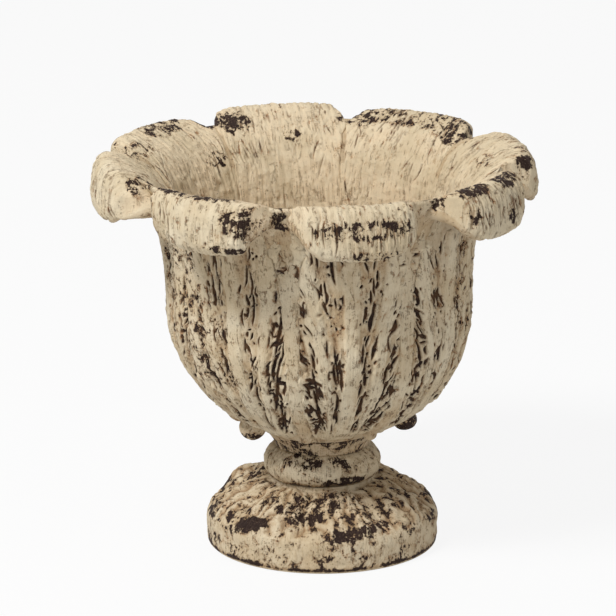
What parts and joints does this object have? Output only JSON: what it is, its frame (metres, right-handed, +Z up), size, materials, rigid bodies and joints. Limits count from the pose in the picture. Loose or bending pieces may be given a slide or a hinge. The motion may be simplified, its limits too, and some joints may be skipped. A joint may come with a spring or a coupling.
{
  "type": "leaf urn planter",
  "caption": "Footed round urn for plants: a deep bowl dressed in curling acanthus leaves, on a collar, a knop and a spreading round foot, in chipped cream paint.",
  "frame": {"origin": "middle of the foot's underside, on the surface that the urn stands on", "axes": "+Z up the urn's axis, -Y towards the leaf that faces the viewer (leaf_1), +X to that viewer's right"},
  "size_m": [0.3082, 0.3082, 0.2785],
  "materials": {
    "cream_paint": "matte, chipped",
    "steel": "plain zinc",
    "rubber": "matte"
  },
  "bodies": {
    "root": {"bowl": "cream_paint", "leaf_1": "cream_paint", "leaf_2": "cream_paint", "leaf_3": "cream_paint", "leaf_4": "cream_paint", "leaf_5": "cream_paint", "leaf_6": "cream_paint", "leaf_7": "cream_paint", "leaf_8": "cream_paint", "spear_1": "cream_paint", "spear_2": "cream_paint", "spear_3": "cream_paint", "spear_4": "cream_paint", "spear_5": "cream_paint", "spear_6": "cream_paint", "spear_7": "cream_paint", "spear_8": "cream_paint", "collar": "cream_paint", "knop": "cream_paint", "foot": "cream_paint", "leaf_screws": "steel", "spear_screws": "steel", "tie_rod": "steel", "top_washer": "steel", "top_nut": "steel", "clamp_plate": "steel", "foot_nut": "steel", "seal_washer": "rubber"}
  },
  "joints": []
}
